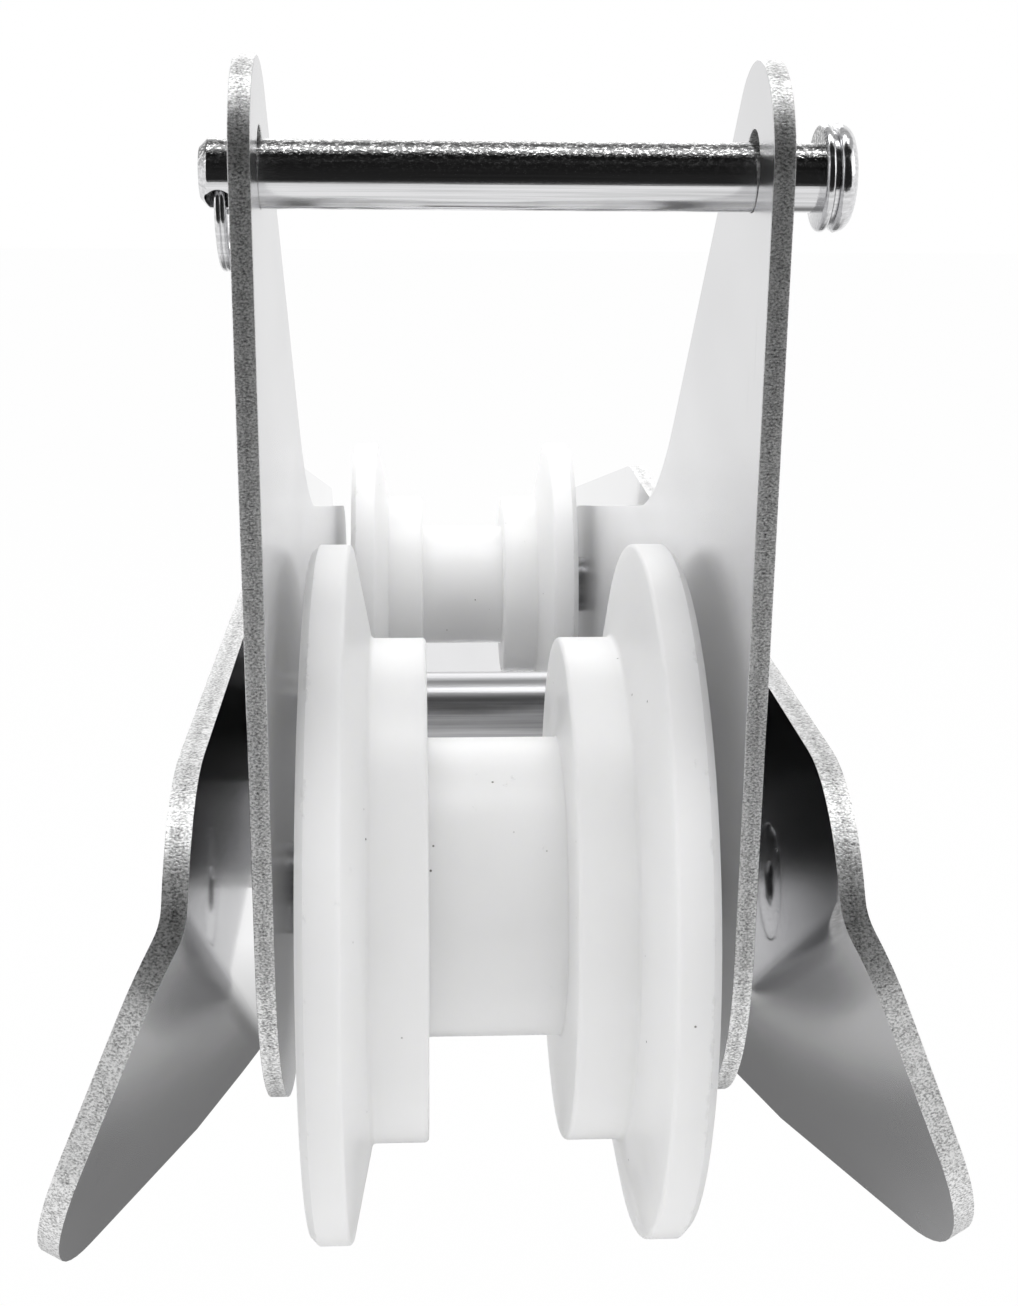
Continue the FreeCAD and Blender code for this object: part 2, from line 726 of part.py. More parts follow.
doc.recompute()
for thing in doc.Objects:
    if "Invalid" in thing.State or "Error" in thing.State:
        raise RuntimeError(f"{thing.Name} did not build: {thing.State}")
for node in nodes:
    if node.Shape.isNull() or not node.Shape.isValid() or not node.Shape.Solids:
        raise RuntimeError(f"{node.Label} has no sound solid")

os.makedirs("parts", exist_ok=True)
for node in nodes:
    node.Shape.exportStep(f"parts/{node.Label}.step")
    box = node.Shape.BoundBox
    print(f"{node.Label:24s} solids {len(node.Shape.Solids)} volume {node.Shape.Volume:10.1f} "
          f"X {box.XMin:7.2f} {box.XMax:7.2f} Y {box.YMin:8.2f} {box.YMax:8.2f} "
          f"Z {box.ZMin:7.2f} {box.ZMax:7.2f}")
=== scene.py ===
"""Looks of a tilting bow roller: polished plates with laser-cut edges, satin nylon rollers, bright pin."""
import json
import math

import bpy
from bpy.props import FloatProperty, FloatVectorProperty, IntProperty, PointerProperty
from mathutils import Matrix, Vector

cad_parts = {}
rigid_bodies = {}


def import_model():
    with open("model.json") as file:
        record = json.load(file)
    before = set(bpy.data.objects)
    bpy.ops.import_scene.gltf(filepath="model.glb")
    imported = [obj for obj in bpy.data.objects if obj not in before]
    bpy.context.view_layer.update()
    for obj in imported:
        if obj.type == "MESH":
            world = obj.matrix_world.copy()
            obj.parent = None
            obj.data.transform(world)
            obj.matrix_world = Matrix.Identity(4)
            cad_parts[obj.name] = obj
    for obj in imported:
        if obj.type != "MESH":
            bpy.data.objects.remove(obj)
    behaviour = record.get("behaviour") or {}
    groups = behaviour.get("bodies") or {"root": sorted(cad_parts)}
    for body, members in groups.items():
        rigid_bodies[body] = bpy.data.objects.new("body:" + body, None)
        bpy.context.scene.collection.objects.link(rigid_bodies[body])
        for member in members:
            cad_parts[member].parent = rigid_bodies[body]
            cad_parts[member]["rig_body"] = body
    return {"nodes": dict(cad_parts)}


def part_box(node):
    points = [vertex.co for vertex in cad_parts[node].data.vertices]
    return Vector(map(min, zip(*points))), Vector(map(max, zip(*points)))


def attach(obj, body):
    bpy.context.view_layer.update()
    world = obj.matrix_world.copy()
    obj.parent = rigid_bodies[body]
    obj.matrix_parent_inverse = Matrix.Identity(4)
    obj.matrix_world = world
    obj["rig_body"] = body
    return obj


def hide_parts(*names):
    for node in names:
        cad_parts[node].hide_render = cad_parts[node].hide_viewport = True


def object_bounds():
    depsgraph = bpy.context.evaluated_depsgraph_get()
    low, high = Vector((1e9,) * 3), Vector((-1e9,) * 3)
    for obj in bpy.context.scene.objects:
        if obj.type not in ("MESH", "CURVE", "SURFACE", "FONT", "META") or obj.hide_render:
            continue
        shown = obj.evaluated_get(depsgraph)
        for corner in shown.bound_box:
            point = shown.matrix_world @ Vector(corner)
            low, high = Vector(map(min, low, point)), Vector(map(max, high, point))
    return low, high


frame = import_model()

bl_info = {
    "name": "Tilting Bow Roller",
    "version": (1, 0, 0),
    "blender": (4, 5, 0),
    "location": "View3D > Sidebar > Bow Roller",
    "description": "Dresses the packed bow roller with its steel and nylon finishes and sets up the studio",
    "category": "Object",
}

CAD_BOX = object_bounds()
BLACK = (0.0, 0.0, 0.0, 1.0)
WHITE = (1.0, 1.0, 1.0, 1.0)

# A Mix node's sockets go by number, because its value, vector and colour sockets share their names.
MIX_AMOUNT = 0
MIX_UNDER = 6
MIX_OVER = 7
MIX_COLOUR = 2


def middle(node):
    """Centre of a node's box, in metres."""
    low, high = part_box(node)
    return (low + high) / 2


def radius_of(node):
    """Outer radius of a round node whose axis lies along X."""
    low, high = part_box(node)
    return (high.z - low.z) / 2


def length(name, description, default):
    """A length setting, in metres."""
    return FloatProperty(name=name, description=description, default=default, unit="LENGTH", precision=5)


def share(name, description, default):
    """A setting between 0 and 1."""
    return FloatProperty(name=name, description=description, default=default, min=0.0, max=1.0)


def colour(name, description, default):
    """A colour setting."""
    return FloatVectorProperty(
        name=name, description=description, default=default, subtype="COLOR", size=4, min=0.0, max=1.0)


def angle(name, description, degrees):
    """An angle setting, given in degrees."""
    return FloatProperty(name=name, description=description, default=math.radians(degrees), subtype="ANGLE")


class RollerSizes(bpy.types.PropertyGroup):
    """Turned sizes of the nylon rollers that the frame's boxes do not give."""

    rim: length("Rim", "Width of a flange at its rim", 0.0066)
    shoulder: length("Shoulder", "Width of the shoulder beside the core groove", 0.00955)
    groove: length("Groove", "Width of the core groove", 0.0229)
    bow_shoulder: length("Bow shoulder", "Shoulder radius of the bow roller", 0.04365)
    bow_core: length("Bow core", "Core radius of the bow roller", 0.02605)
    stern_shoulder: length("Stern shoulder", "Shoulder radius of the stern roller", 0.02565)
    stern_core: length("Stern core", "Core radius of the stern roller", 0.0170)
    bore_fit: length("Bore fit", "Gap between a roller's bore and its axle tube", 0.00008)
    rim_chamfer: length("Rim chamfer", "Chamfer on the outer edge of a flange", 0.0013)
    edge_round: length("Edge round", "Round on the inner edges of a roller", 0.0008)
    segments: IntProperty(name="Segments", description="Steps round a turned piece", default=192, min=24)


class PinSizes(bpy.types.PropertyGroup):
    """Turned sizes of the retaining pin and its split ring."""

    radius: length("Radius", "Radius of the pin's shank", 0.00475)
    chamfer: length("Chamfer", "Chamfer on the pin's tail", 0.0012)
    seat: length("Seat", "Where the head starts, measured across from the middle", 0.04335)
    collar: length("Collar", "Width of the collar under the dome", 0.0014)
    groove: length("Groove", "Width of the groove between collar and dome", 0.0005)
    groove_depth: length("Groove depth", "Depth of that groove", 0.0010)
    collar_round: length("Collar round", "Round on the collar's rim", 0.00065)
    dome_round: length("Dome round", "Round on the dome's outer edge", 0.0020)
    cross_hole: length("Cross hole", "Radius of the hole for the split ring", 0.0020)
    wire: length("Wire", "Thickness of the split ring's wire", 0.00115)
    ring_lean: angle("Ring lean", "How far the cross hole points below the horizon at its front", 50.0)
    ring_yaw: angle("Ring yaw", "Turn of the split ring about the vertical", 0.5)


class SteelFinish(bpy.types.PropertyGroup):
    """Finish of the stainless sheet, its cut edges and the turned parts."""

    polished: colour("Polished", "Reflected tint of the polished sheet", (0.78, 0.78, 0.79, 1.0))
    bright: colour("Bright", "Reflected tint of the pin and ring", (0.76, 0.76, 0.77, 1.0))
    turned: colour("Turned", "Reflected tint of screws, bolt and nut", (0.62, 0.62, 0.63, 1.0))
    drawn: colour("Drawn", "Reflected tint of the tubes", (0.44, 0.44, 0.45, 1.0))
    cut_dark: colour("Cut dark", "Dark grain of a laser-cut edge", (0.06, 0.06, 0.06, 1.0))
    cut_light: colour("Cut light", "Light grain of a laser-cut edge", (0.95, 0.95, 0.95, 1.0))
    # painted shade: how much darker the polish is painted towards the ears
    painted_ear_shade: share("Ear shade", "How much darker the plates' polish is towards the ears", 0.12)
    stroke_shade: share("Stroke shade", "How dark the rare strokes in the polish are", 0.06)
    edge_break: length("Edge break", "Bevel left by deburring the sheet", 0.00022)
    rough_low: share("Smoothest", "Roughness where the polish is best", 0.20)
    rough_high: share("Dullest", "Roughness in smears", 0.30)


class NylonFinish(bpy.types.PropertyGroup):
    """Finish of the turned nylon."""

    white: colour("White", "Colour of the rollers", (0.91, 0.91, 0.91, 1.0))
    speck: colour("Speck", "Colour of the specks in the nylon", (0.16, 0.15, 0.14, 1.0))
    nick: colour("Nick", "Colour of rubbed places and nicks", (0.83, 0.83, 0.83, 1.0))
    roughness: share("Roughness", "Roughness of the satin surface", 0.36)
    glow: share("Glow", "Share of light that scatters in the nylon", 0.80)
    # painted glow: these set the nylon's emission, painted in for light that comes through the translucent
    # nylon
    painted_glow_bow: share("Through bow", "Light that comes through the translucent bow roller to its rims", 0.02)
    painted_glow_stern: share("Through stern", "The same for the stern roller", 0.07)
    painted_glow_side: share("Through side", "Light that comes through the nylon to its flat sides", 0.08)


class Studio(bpy.types.PropertyGroup):
    """Camera, floor and lamps."""

    camera: FloatVectorProperty(
        name="Camera", description="Camera position", default=(-0.0129, -0.5109, 0.1776),
        subtype="TRANSLATION", unit="LENGTH")
    pitch: angle("Pitch", "Camera tilt above the horizon", -16.77)
    yaw: angle("Yaw", "Camera turn from straight aft, towards +X", 3.04)
    roll: angle("Roll", "Camera roll", 0.56)
    lens: FloatProperty(name="Lens", description="Focal length in millimetres", default=49.43)
    floor_drop: length("Floor drop", "How far below the part the floor lies", 0.28)
    floor_white: share("Floor white", "Share of plain white in the floor as the camera sees it", 0.97)
    surround: share("Surround", "Level of the soft light from all round", 0.78)
    key: FloatProperty(name="Key", description="Power of the lamp overhead, in watts", default=4.8)
    fill: FloatProperty(name="Fill", description="Power of each side lamp, in watts", default=2.2)
    back: FloatProperty(name="Back", description="Power of the lamp behind, in watts", default=3.6)


class BowRoller(bpy.types.PropertyGroup):
    """All settings of the dressed bow roller."""

    rollers: PointerProperty(type=RollerSizes)
    pin: PointerProperty(type=PinSizes)
    steel: PointerProperty(type=SteelFinish)
    nylon: PointerProperty(type=NylonFinish)
    studio: PointerProperty(type=Studio)


def settings():
    """The scene's own settings of the bow roller."""
    return bpy.context.scene.bow_roller


def add(tree, kind, inputs=None, **attributes):
    """A shader node with its attributes and inputs set. An input given as a (node, output) pair is
    linked, and any other value is written."""
    made = tree.nodes.new(kind)
    for name, value in attributes.items():
        setattr(made, name, value)
    for name, value in (inputs or {}).items():
        if isinstance(value, tuple) and isinstance(value[0], bpy.types.Node):
            tree.links.new(value[0].outputs[value[1]], made.inputs[name])
        else:
            made.inputs[name].default_value = value
    return made


def calculate(tree, operation, *values):
    """A maths node on its values."""
    return add(tree, "ShaderNodeMath", dict(enumerate(values)), operation=operation)


def blend(tree, amount, under, over):
    """One colour over another, by an amount."""
    return add(tree, "ShaderNodeMix", {
        MIX_AMOUNT: amount, MIX_UNDER: under, MIX_OVER: over}, data_type="RGBA")


def ramp(tree, source, low, high, dark=BLACK, light=WHITE):
    """A colour ramp from dark at low to light at high."""
    made = add(tree, "ShaderNodeValToRGB", {"Fac": source})
    first, last = made.color_ramp.elements
    first.position, first.color = low, dark
    last.position, last.color = high, light
    return made


def spread(tree, source, low, high, start=0.0, end=1.0):
    """Maps a value from start..end to low..high."""
    return add(tree, "ShaderNodeMapRange", {
        "Value": source, "From Min": start, "From Max": end, "To Min": low, "To Max": high})


def place(tree, scale=(1, 1, 1), location=(0, 0, 0)):
    """Object coordinates, stretched by scale and moved."""
    where = add(tree, "ShaderNodeTexCoord")
    return add(tree, "ShaderNodeMapping", {"Vector": (where, "Object"), "Scale": scale, "Location": location})


def position(tree):
    """Object coordinates as separate X, Y and Z."""
    where = add(tree, "ShaderNodeTexCoord")
    return add(tree, "ShaderNodeSeparateXYZ", {"Vector": (where, "Object")})


def noise(tree, mapping, scale, detail=2.0, rough=0.5):
    """Noise on mapped coordinates."""
    return add(tree, "ShaderNodeTexNoise", {
        "Vector": (mapping, "Vector"), "Scale": scale, "Detail": detail, "Roughness": rough})


def relief(tree, height, strength, distance, under=None):
    """A bump, laid over the one under it if there is one."""
    inputs = {"Height": height, "Strength": strength, "Distance": distance}
    if under:
        inputs["Normal"] = (under, "Normal")
    return add(tree, "ShaderNodeBump", inputs)


def darker(tint, factor):
    """A tint at a share of its level."""
    return tuple(level * factor for level in tint[:3]) + (1.0,)


def new_material(name, metallic=0.0):
    """A material with a Principled surface, and its tree and shader."""
    made = bpy.data.materials.new(name)
    made.use_nodes = True
    tree = made.node_tree
    shader = tree.nodes["Principled BSDF"]
    shader.inputs["Metallic"].default_value = metallic
    return made, tree, shader


def connect(tree, source, shader, socket):
    """Links a (node, output) pair to a socket of the shader."""
    tree.links.new(source[0].outputs[source[1]], shader.inputs[socket])


def polished_steel(name, tint, seed, mirror_half):
    """Polished sheet with soft smears, rare faint strokes and a slow waviness, and painted shade: it is
    painted a little darker towards the ears. Within mirror_half of the middle it keeps its mirror polish."""
    finish = settings().steel
    mirror_factor = 0.25
    mirror_fade = 0.0015
    made, tree, shader = new_material(name, metallic=1.0)
    axes = position(tree)
    smear = noise(tree, place(tree, (1.0, 0.25, 0.6), (seed, seed, 0)), scale=60.0)
    tone = ramp(tree, (smear, "Fac"), 0.0, 1.0, darker(tint, 0.92), tuple(tint))
    strokes = noise(tree, place(tree, (1.0, 1.0, 0.07)), scale=700.0)
    rare = noise(tree, place(tree, (1.0, 1.0, 0.5), (0, seed, seed)), scale=55.0, detail=1.0)
    both = calculate(tree, "ADD", (strokes, "Fac"), (rare, "Fac"))
    stroked = spread(tree, (both, "Value"), 0.0, finish.stroke_shade, start=1.20, end=1.40)
    top = CAD_BOX[1].z
    # painted shade: the polish is painted darker towards the ears, from half to four fifths of the part's
    # height
    ear = spread(tree, (axes, "Z"), 0.0, finish.painted_ear_shade, start=top * 0.5, end=top * 0.8)
    shaded = calculate(tree, "ADD", (stroked, "Result"), (ear, "Result"))
    toned = blend(tree, (shaded, "Value"), (tone, "Color"), BLACK)
    connect(tree, (toned, MIX_COLOUR), shader, "Base Color")
    dull = spread(tree, (smear, "Fac"), finish.rough_high, finish.rough_low)
    across = calculate(tree, "ABSOLUTE", (axes, "X"))
    kept = spread(
        tree, (across, "Value"), mirror_factor, 1.0, start=mirror_half, end=mirror_half + mirror_fade)
    rough = calculate(tree, "MULTIPLY", (dull, "Result"), (kept, "Result"))
    connect(tree, (rough, "Value"), shader, "Roughness")
    wave = noise(tree, place(tree, location=(0, seed, 0)), scale=12.0, detail=1.0)
    slow = relief(tree, (wave, "Fac"), strength=0.06, distance=0.0004)
    connect(tree, (slow, "Normal"), shader, "Normal")
    return made


def cut_edge(name, centre, seed, shaded_above):
    """Laser-cut edge: fine grain in patches, with a darker line along the middle of the sheet, and
    painted shade above a height: the top edges, which face the lamp overhead, are painted darker."""
    finish = settings().steel
    line_width = 0.0012
    painted_shade_level = 0.70
    painted_shade_fade = 0.0014
    made, tree, shader = new_material(name, metallic=1.0)
    axes = position(tree)
    grain = noise(tree, place(tree, (0.7, 1.0, 1.0), (seed, 0, 0)), scale=3400.0, rough=0.6)
    patches = noise(tree, place(tree, location=(0, 0, seed)), scale=420.0)
    calm = spread(tree, (patches, "Fac"), 0.42, 0.58)
    mixed = calculate(tree, "ADD", (grain, "Fac"), (calm, "Result"))
    across = calculate(tree, "ABSOLUTE", (axes, "X"))
    offset = calculate(tree, "SUBTRACT", (across, "Value"), centre)
    away = calculate(tree, "ABSOLUTE", (offset, "Value"))
    line = spread(tree, (away, "Value"), -0.05, 0.03, start=0.0, end=line_width)
    lit = calculate(tree, "ADD", (mixed, "Value"), (line, "Result"))
    shade = spread(tree, (lit, "Value"), 0.0, 1.0, start=0.72, end=1.12)
    # painted shade: above shaded_above the edge's colour is painted darker, where the top edges face the lamp
    # overhead
    painted_shade = spread(tree, (axes, "Z"), 1.0, painted_shade_level, start=shaded_above, end=shaded_above + painted_shade_fade)
    level = calculate(tree, "MULTIPLY", (shade, "Result"), (painted_shade, "Result"))
    tone = ramp(tree, (level, "Value"), 0.0, 1.0, tuple(finish.cut_dark), tuple(finish.cut_light))
    connect(tree, (tone, "Color"), shader, "Base Color")
    shader.inputs["Roughness"].default_value = 0.46
    cut = relief(tree, (lit, "Value"), strength=0.50, distance=0.00012)
    connect(tree, (cut, "Normal"), shader, "Normal")
    return made


def turned_steel(name, tint, roughness, pitting):
    """Turned stainless: fine rings about the X axis and a light pitting."""
    made, tree, shader = new_material(name, metallic=1.0)
    rings = noise(tree, place(tree, (1.0, 0.02, 0.02)), scale=5200.0)
    pits = noise(tree, place(tree, (0.8, 1.0, 1.0)), scale=2300.0, detail=3.0, rough=0.7)
    tone = ramp(tree, (pits, "Fac"), 0.30, 0.62, darker(tint, 0.72), tuple(tint))
    connect(tree, (tone, "Color"), shader, "Base Color")
    dull = spread(tree, (pits, "Fac"), roughness * 1.5, roughness * 0.7, start=0.30, end=0.65)
    connect(tree, (dull, "Result"), shader, "Roughness")
    turning = relief(tree, (rings, "Fac"), strength=0.05, distance=0.00002)
    pitted = relief(tree, (pits, "Fac"), strength=pitting, distance=0.00005, under=turning)
    connect(tree, (pitted, "Normal"), shader, "Normal")
    return made


def drawn_steel(name, tint, roughness, pitted_above, pitted_until):
    """Bright drawn bar: fine lines along the X axis and, above a height and up to a place along it,
    small pits with painted sparkle: light and dark specks painted into their colour."""
    fade_upwards = 0.0030
    fade_across = 0.0004
    made, tree, shader = new_material(name, metallic=1.0)
    axes = position(tree)
    lines = noise(tree, place(tree, (0.012, 1.0, 1.0)), scale=1900.0, detail=3.0, rough=0.6)
    tone = ramp(tree, (lines, "Fac"), 0.32, 0.62, darker(tint, 0.72), tuple(tint))
    pits = noise(tree, place(tree, (0.7, 1.0, 1.0)), scale=2300.0, detail=3.0, rough=0.7)
    # painted sparkle: light and dark specks painted into the colour on the top only, where the lamp overhead
    # glints
    sparkle = ramp(tree, (pits, "Fac"), 0.50, 0.66, darker(WHITE, 0.14), WHITE)
    above = spread(tree, (axes, "Z"), 0.0, 1.0, start=pitted_above, end=pitted_above + fade_upwards)
    before = spread(tree, (axes, "X"), 1.0, 0.0, start=pitted_until, end=pitted_until + fade_across)
    pitted = calculate(tree, "MULTIPLY", (above, "Result"), (before, "Result"))
    toned = blend(tree, (pitted, "Value"), (tone, "Color"), (sparkle, "Color"))
    connect(tree, (toned, MIX_COLOUR), shader, "Base Color")
    drawing = relief(tree, (lines, "Fac"), strength=0.22, distance=0.00006)
    pitting = relief(tree, (pits, "Fac"), strength=(pitted, "Value"), distance=0.00006, under=drawing)
    connect(tree, (pitting, "Normal"), shader, "Normal")
    shader.inputs["Roughness"].default_value = roughness
    return made


def satin_nylon(name, tint, seed, rim_line, through_rim):
    """Turned nylon: satin white with lathe marks, soft clouding, sparse dark specks, light scuffs, most
    of them on the rim line of the flanges, and a weak painted glow that stands in for the light that comes
    through it."""
    finish = settings().nylon
    side_start = rim_line + 0.0010
    side_end = rim_line + 0.0013
    made, tree, shader = new_material(name)
    cloud = noise(tree, place(tree, location=(seed, 0, 0)), scale=60.0, detail=3.0)
    base = ramp(tree, (cloud, "Fac"), 0.25, 0.70, darker(tint, 0.97), tuple(tint))
    speckles = add(tree, "ShaderNodeTexVoronoi", {
        "Vector": (place(tree, location=(seed, seed, 0)), "Vector"), "Scale": 165.0, "Randomness": 1.0})
    dots = spread(tree, (speckles, "Distance"), 1.0, 0.0, start=0.022, end=0.042)
    specked = blend(tree, (dots, "Result"), (base, "Color"), tuple(finish.speck))
    across = calculate(tree, "ABSOLUTE", (position(tree), "X"))
    offset = calculate(tree, "SUBTRACT", (across, "Value"), rim_line)
    away = calculate(tree, "ABSOLUTE", (offset, "Value"))
    near_rim = spread(tree, (away, "Value"), 0.14, 0.0, start=0.0002, end=0.0008)
    scuff = noise(tree, place(tree, (1.0, 0.7, 0.5), (0, seed, 0)), scale=300.0, detail=4.0, rough=0.7)
    likely = calculate(tree, "ADD", (scuff, "Fac"), (near_rim, "Result"))
    rubbed = ramp(tree, (likely, "Value"), 0.69, 0.75)
    scuffed = blend(tree, (rubbed, "Color"), (specked, MIX_COLOUR), tuple(finish.nick))
    connect(tree, (scuffed, MIX_COLOUR), shader, "Base Color")
    dull = spread(tree, (cloud, "Fac"), finish.roughness - 0.06, finish.roughness + 0.10, start=0.3, end=0.7)
    connect(tree, (dull, "Result"), shader, "Roughness")
    shader.inputs["Subsurface Weight"].default_value = finish.glow
    shader.inputs["Subsurface Radius"].default_value = (1.0, 1.0, 0.95)
    shader.inputs["Subsurface Scale"].default_value = 0.008
    shader.inputs["Specular IOR Level"].default_value = 0.45
    # painted glow: a weak emission over the whole roller, set apart on its flat sides, for light that comes
    # through the nylon
    shader.inputs["Emission Color"].default_value = WHITE
    through = spread(
        tree, (across, "Value"), through_rim, finish.painted_glow_side, start=side_start, end=side_end)
    connect(tree, (through, "Result"), shader, "Emission Strength")
    rings = relief(tree, (lathe_rings(tree), "Fac"), strength=0.10, distance=0.00003)
    worn = relief(tree, (rubbed, "Color"), strength=0.60, distance=0.00015, under=rings)
    connect(tree, (worn, "Normal"), shader, "Normal")
    return made


def lathe_rings(tree):
    """Fine rings about the X axis."""
    return noise(tree, place(tree, (1.0, 0.03, 0.03)), scale=2400.0)


def dark_bearing(name):
    """Dark bearing plastic with fine lathe rings."""
    made, tree, shader = new_material(name)
    cloud = noise(tree, place(tree), scale=300.0, detail=3.0)
    tone = ramp(tree, (cloud, "Fac"), 0.30, 0.70, darker(WHITE, 0.012), darker(WHITE, 0.026))
    connect(tree, (tone, "Color"), shader, "Base Color")
    shader.inputs["Roughness"].default_value = 0.42
    rings = relief(tree, (lathe_rings(tree), "Fac"), strength=0.15, distance=0.00003)
    connect(tree, (rings, "Normal"), shader, "Normal")
    return made


def material(name, maker, **values):
    """The named material, made once."""
    return bpy.data.materials.get(name) or maker(name, **values)


def sheet_finish():
    """Polish of the cradle's plates."""
    tint = settings().steel.polished
    return material("polished_sheet", polished_steel, tint=tint, seed=0.0, mirror_half=0.0)


def turned_finish():
    """Finish of screws, bolt, nut and steel washers."""
    return material(
        "turned_stainless", turned_steel, tint=settings().steel.turned, roughness=0.16, pitting=0.10)


def tube_finish():
    """Finish of the tubes, which have no pits and no painted sparkle: both would start past the part's own
    box.
    """
    beyond = CAD_BOX[1]
    return material(
        "drawn_tube", drawn_steel, tint=settings().steel.drawn, roughness=0.30, pitted_above=beyond.z,
        pitted_until=beyond.x)


def bright_finish():
    """Finish of the retaining pin, with pits and painted sparkle on the upper half of its shank, and of the
    split ring.
    """
    return material(
        "bright_stainless", drawn_steel, tint=settings().steel.bright, roughness=0.13,
        pitted_above=middle("retaining_pin").z, pitted_until=settings().pin.seat)


def nylon_finish(end):
    """Finish of the roller at one end, front or rear."""
    finish = settings().nylon
    rim_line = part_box(f"{end}_roller")[1].x - settings().rollers.rim_chamfer
    through = finish.painted_glow_bow if end == "front" else finish.painted_glow_stern
    return material(
        f"turned_nylon_{end}", satin_nylon, tint=finish.white, seed=0.37, rim_line=rim_line,
        through_rim=through)


def deselect():
    """Leaves edit mode, with nothing selected."""
    if bpy.context.object and bpy.context.object.mode != "OBJECT":
        bpy.ops.object.mode_set(mode="OBJECT")
    bpy.ops.object.select_all(action="DESELECT")


def choose(piece):
    """Makes a piece the only selected one, and the active one."""
    deselect()
    piece.select_set(True)
    bpy.context.view_layer.objects.active = piece


def apply_modifiers(piece):
    """Applies all modifiers of a piece, in their order."""
    choose(piece)
    for modifier in list(piece.modifiers):
        bpy.ops.object.modifier_apply(modifier=modifier.name)


def smooth(piece, degrees=32.0):
    """Smooth shading over small angles, with the large faces kept flat."""
    choose(piece)
    bpy.ops.object.shade_smooth_by_angle(angle=math.radians(degrees))
    weighted = piece.modifiers.new("flat_faces", "WEIGHTED_NORMAL")
    weighted.weight = 100
    weighted.keep_sharp = True
    apply_modifiers(piece)


def soften(piece, width, segments=2):
    """Breaks the sharp edges of a piece by a small bevel."""
    bevel = piece.modifiers.new("edge_break", "BEVEL")
    bevel.width = width
    bevel.segments = segments
    bevel.limit_method = "ANGLE"
    bevel.angle_limit = math.radians(35.0)
    bevel.use_clamp_overlap = True
    apply_modifiers(piece)


def copy_of(node, name):
    """A separate piece with a node's shape, its triangles merged into clean faces."""
    weld_distance = 0.000002
    flat_angle = math.radians(0.6)
    source = frame["nodes"][node]
    piece = bpy.data.objects.new(name, source.data.copy())
    bpy.context.scene.collection.objects.link(piece)
    piece.data.materials.clear()
    choose(piece)
    bpy.ops.mesh.customdata_custom_splitnormals_clear()
    bpy.ops.object.mode_set(mode="EDIT")
    bpy.ops.mesh.select_all(action="SELECT")
    bpy.ops.mesh.remove_doubles(threshold=weld_distance)
    bpy.ops.mesh.dissolve_limited(angle_limit=flat_angle)
    bpy.ops.object.mode_set(mode="OBJECT")
    return piece


def settle(piece, node, slot):
    """Lets a finished piece ride with its node's body and stand for the node."""
    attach(piece, frame["nodes"][node]["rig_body"])
    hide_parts(node)


def paint(piece, *materials):
    """Gives a piece these materials and no others."""
    piece.data.materials.clear()
    for made in materials:
        piece.data.materials.append(made)


def rounded(corners):
    """Points of a profile whose corners are (x, radius, round), with an arc in place of each corner
    that has a round."""
    steps = 6
    points = []
    for i, (x, r, bend) in enumerate(corners):
        if not bend:
            points.append((x, r))
            continue
        here = Vector((x, r))
        before = (Vector(corners[i - 1][:2]) - here).normalized()
        after = (Vector(corners[(i + 1) % len(corners)][:2]) - here).normalized()
        half = before.angle(after) / 2
        centre = here + (before + after).normalized() * (bend / math.sin(half))
        start = here + before * (bend / math.tan(half)) - centre
        end = here + after * (bend / math.tan(half)) - centre
        turn = start.angle_signed(end)
        for step in range(steps + 1):
            part = -turn * step / steps
            spoke = Vector((
                start.x * math.cos(part) - start.y * math.sin(part),
                start.x * math.sin(part) + start.y * math.cos(part)))
            points.append(tuple(centre + spoke))
    return points


def turned(name, centre, points, closed, segments):
    """A piece turned about an axis along X: a circle that is extruded and resized ring by ring. A
    closed profile comes back to its first point, as on a piece with a bore."""
    weld_distance = 0.000001
    deselect()
    x, r = points[0]
    hub = Vector((0, centre.y, centre.z))
    bpy.ops.mesh.primitive_circle_add(
        vertices=segments, radius=r, location=(x, hub.y, hub.z), rotation=(0, math.pi / 2, 0))
    piece = bpy.context.object
    piece.name = name
    bpy.ops.object.mode_set(mode="EDIT")
    bpy.ops.mesh.select_all(action="SELECT")
    if not closed:
        bpy.ops.mesh.edge_face_add()
        bpy.ops.mesh.select_all(action="SELECT")
    for next_x, next_r in points[1:] + (points[:1] if closed else []):
        bpy.ops.mesh.extrude_region_move(TRANSFORM_OT_translate={"value": (next_x - x, 0, 0)})
        grow = next_r / r
        bpy.ops.transform.resize(value=(1, grow, grow), center_override=(next_x, hub.y, hub.z))
        x, r = next_x, next_r
    bpy.ops.mesh.select_all(action="SELECT")
    bpy.ops.mesh.remove_doubles(threshold=weld_distance)
    bpy.ops.mesh.normals_make_consistent(inside=False)
    bpy.ops.object.mode_set(mode="OBJECT")
    bpy.ops.object.transform_apply(location=True, rotation=True, scale=True)
    return piece


def cut_with(piece, tool):
    """Cuts a tool's shape out of a piece and removes the tool."""
    cut = piece.modifiers.new("cut", "BOOLEAN")
    cut.operation = "DIFFERENCE"
    cut.solver = "EXACT"
    cut.object = tool
    apply_modifiers(piece)
    bpy.data.objects.remove(tool)


def paint_sheet(piece, faces, edges, is_edge):
    """Polished faces and laser-cut edges, told apart by where a polygon lies and looks."""
    paint(piece, faces, edges)
    for polygon in piece.data.polygons:
        polygon.material_index = 1 if is_edge(polygon.center, polygon.normal) else 0


